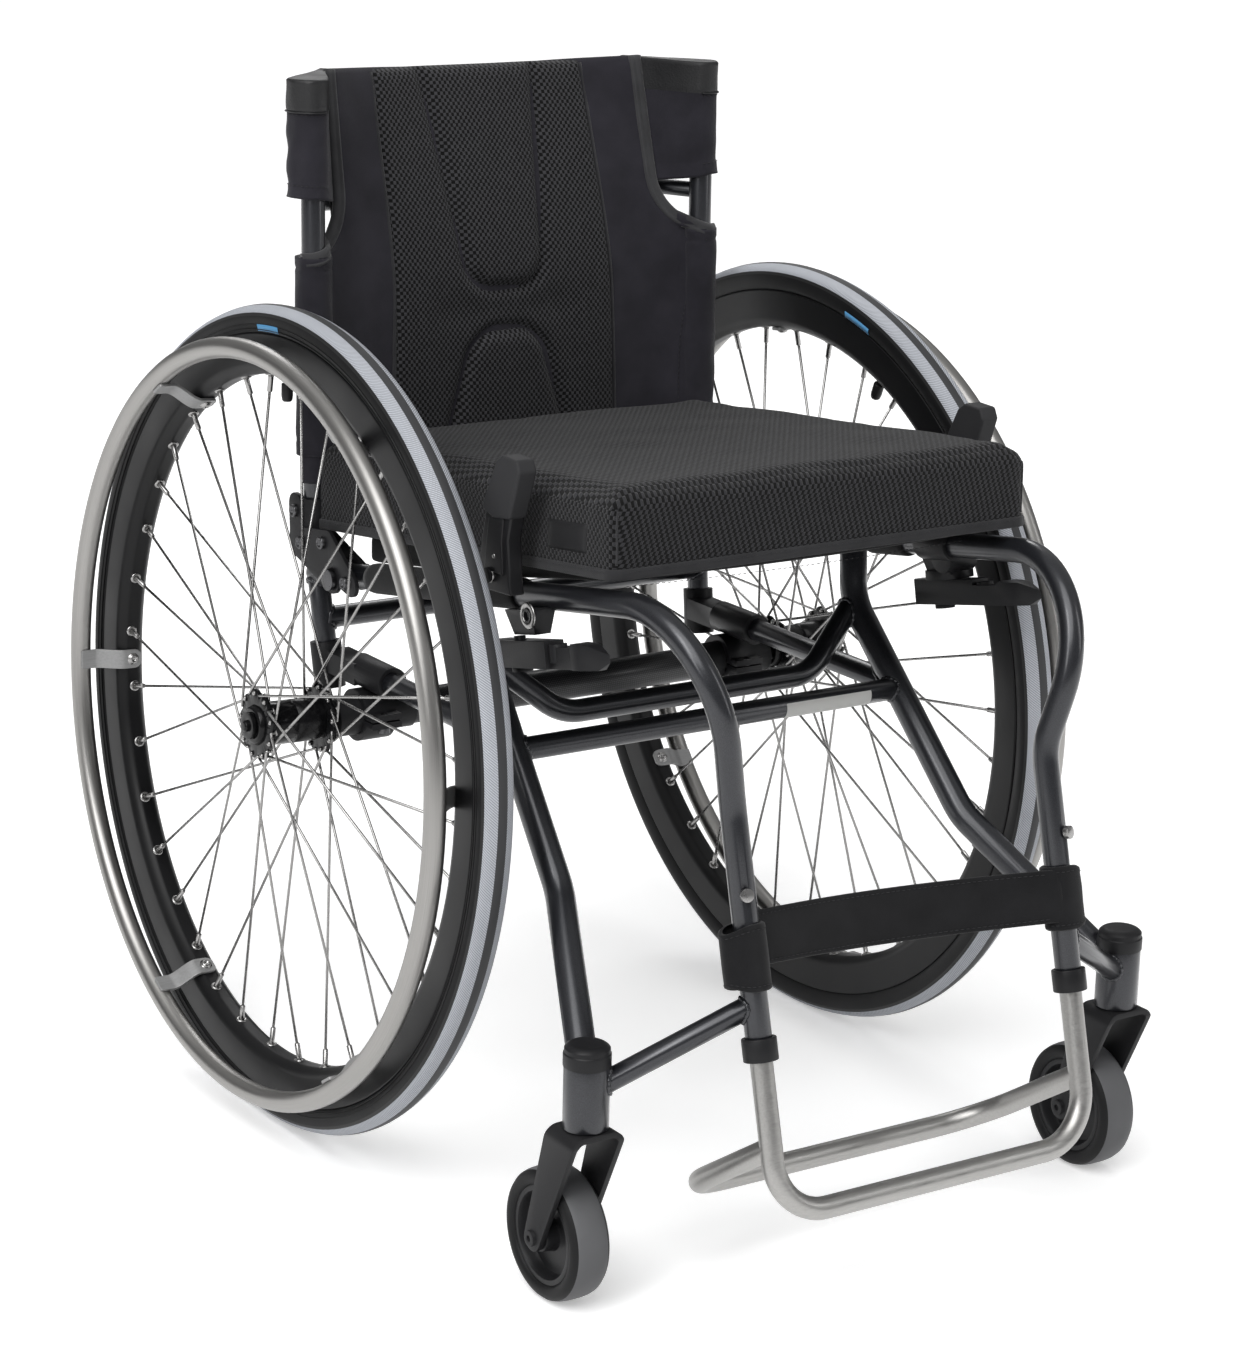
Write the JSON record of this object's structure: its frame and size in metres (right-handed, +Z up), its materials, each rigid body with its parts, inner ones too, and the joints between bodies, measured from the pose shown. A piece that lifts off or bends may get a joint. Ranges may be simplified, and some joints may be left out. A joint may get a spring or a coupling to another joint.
{
  "type": "wheelchair",
  "caption": "Manual wheelchair with rigid tube frame, fold-down back, seat cushion, handrims, swivel casters, tube footrest and wheel locks.",
  "frame": {"origin": "middle of the chair's footprint on the floor", "axes": "+X to the user's left, +Y to the rear, +Z up"},
  "size_m": [0.5526, 0.7794, 0.734],
  "materials": {
    "frame_paint": "satin dark grey paint",
    "cast_black": "satin black coat",
    "carbon": "woven carbon fibre",
    "black_alloy": "black anodised",
    "bright_alloy": "brushed",
    "steel": "brushed",
    "chrome": "polished",
    "tyre_black": "moulded rubber",
    "caster_rubber": "smooth moulded",
    "plastic": "moulded",
    "lever_plastic": "moulded, soft grip",
    "cover_cloth": "stretch cloth",
    "mesh": "spacer mesh",
    "sling_cloth": "woven nylon"
  },
  "bodies": {
    "frame": {"side_tube_left": "frame_paint", "side_tube_right": "frame_paint", "leg_tube_left": "frame_paint", "leg_tube_right": "frame_paint", "cross_tube": "frame_paint", "support_tube": "frame_paint", "axle_stays": "frame_paint", "rear_posts": "frame_paint", "rear_cross_tube": "frame_paint", "axle_tube": "carbon", "axle_sleeves": "black_alloy", "axle_clamps": "cast_black", "clamp_bolts": "steel", "caster_housings": "frame_paint", "caster_caps": "plastic", "caster_bearings": "steel", "caster_struts": "frame_paint", "footrest_collars": "plastic", "footrest_screws": "steel", "calf_strap": "sling_cloth", "seat_sling": "sling_cloth", "seat_cushion": "mesh", "brake_brackets": "cast_black"},
    "backrest": {"hinge_plates": "cast_black", "hinge_pivots": "steel", "back_posts": "frame_paint", "back_bar": "frame_paint", "back_cover": "cover_cloth", "back_pad": "mesh", "back_sling": "sling_cloth"},
    "footrest": {"footrest_tube": "bright_alloy", "footrest_rear_tube": "bright_alloy"},
    "axle_left": {"axle_pin_left": "chrome"},
    "button_left": {"axle_button_left": "chrome"},
    "wheel_left": {"tyre_left": "tyre_black", "rim_left": "black_alloy", "spokes_left": "steel", "hub_left": "black_alloy", "handrim_left": "bright_alloy", "handrim_tabs_left": "black_alloy"},
    "caster_swivel_left": {"caster_fork_left": "black_alloy"},
    "caster_left": {"caster_tyre_left": "caster_rubber", "caster_wheel_left": "plastic"},
    "lever_left": {"brake_lever_left": "lever_plastic"},
    "brake_left": {"brake_arm_left": "cast_black"},
    "axle_right": {"axle_pin_right": "chrome"},
    "button_right": {"axle_button_right": "chrome"},
    "wheel_right": {"tyre_right": "tyre_black", "rim_right": "black_alloy", "spokes_right": "steel", "hub_right": "black_alloy", "handrim_right": "bright_alloy", "handrim_tabs_right": "black_alloy"},
    "caster_swivel_right": {"caster_fork_right": "black_alloy"},
    "caster_right": {"caster_tyre_right": "caster_rubber", "caster_wheel_right": "plastic"},
    "lever_right": {"brake_lever_right": "lever_plastic"},
    "brake_right": {"brake_arm_right": "cast_black"}
  },
  "joints": [
    {"name": "backrest_fold", "type": "hinge", "parent": "frame", "child": "backrest", "pos_m": [0, 0.11375, 0.389], "axis": [1, 0, 0], "range_deg": [0, 78], "deforming": ["seat_cushion"]},
    {"name": "footrest_height", "type": "slide", "parent": "frame", "child": "footrest", "axis": [0, -0.2529, -0.9675], "range_m": [-0.012, 0.027]},
    {"name": "wheel_release_left", "type": "slide", "parent": "frame", "child": "axle_left", "axis": [0.9994, 0, 0.0349], "range_m": [0, 0.11]},
    {"name": "release_button_left", "type": "slide", "parent": "axle_left", "child": "button_left", "axis": [-0.9994, 0, -0.0349], "range_m": [0, 0.003], "stiffness_N_per_m": 500, "springref_m": -0.001},
    {"name": "wheel_spin_left", "type": "hinge", "parent": "axle_left", "child": "wheel_left", "pos_m": [0.2255, 0.09475, 0.29483], "axis": [0.9994, 0, 0.0349], "continuous": true},
    {"name": "caster_swivel_left", "type": "hinge", "parent": "frame", "child": "caster_swivel_left", "pos_m": [0.2205, -0.29825, 0.128], "axis": [0, 0, 1], "continuous": true},
    {"name": "caster_spin_left", "type": "hinge", "parent": "caster_swivel_left", "child": "caster_left", "pos_m": [0.2205, -0.26825, 0.0445], "axis": [1, 0, 0], "continuous": true},
    {"name": "brake_lever_left", "type": "hinge", "parent": "frame", "child": "lever_left", "pos_m": [0.189, -0.12825, 0.449], "axis": [1, 0, 0], "range_deg": [0, 55]},
    {"name": "brake_arm_left", "type": "hinge", "parent": "frame", "child": "brake_left", "pos_m": [0.176, -0.13925, 0.3963], "axis": [0, 0.2164, 0.9763], "range_deg": [0, 36]},
    {"name": "wheel_release_right", "type": "slide", "parent": "frame", "child": "axle_right", "axis": [-0.9994, 0, 0.0349], "range_m": [0, 0.11]},
    {"name": "release_button_right", "type": "slide", "parent": "axle_right", "child": "button_right", "axis": [0.9994, 0, -0.0349], "range_m": [0, 0.003], "stiffness_N_per_m": 500, "springref_m": -0.001},
    {"name": "wheel_spin_right", "type": "hinge", "parent": "axle_right", "child": "wheel_right", "pos_m": [-0.2255, 0.09475, 0.29483], "axis": [-0.9994, 0, 0.0349], "continuous": true},
    {"name": "caster_swivel_right", "type": "hinge", "parent": "frame", "child": "caster_swivel_right", "pos_m": [-0.2205, -0.29825, 0.128], "axis": [0, 0, 1], "continuous": true},
    {"name": "caster_spin_right", "type": "hinge", "parent": "caster_swivel_right", "child": "caster_right", "pos_m": [-0.2205, -0.26825, 0.0445], "axis": [1, 0, 0], "continuous": true},
    {"name": "brake_lever_right", "type": "hinge", "parent": "frame", "child": "lever_right", "pos_m": [-0.189, -0.12825, 0.449], "axis": [1, 0, 0], "range_deg": [0, 55]},
    {"name": "brake_arm_right", "type": "hinge", "parent": "frame", "child": "brake_right", "pos_m": [-0.176, -0.13925, 0.3963], "axis": [0, -0.2164, -0.9763], "range_deg": [0, 36]}
  ],
  "couplings": [
    {"joint": "brake_arm_left", "follows": "brake_lever_left", "ratio": 0.6545},
    {"joint": "brake_arm_right", "follows": "brake_lever_right", "ratio": 0.6545}
  ]
}
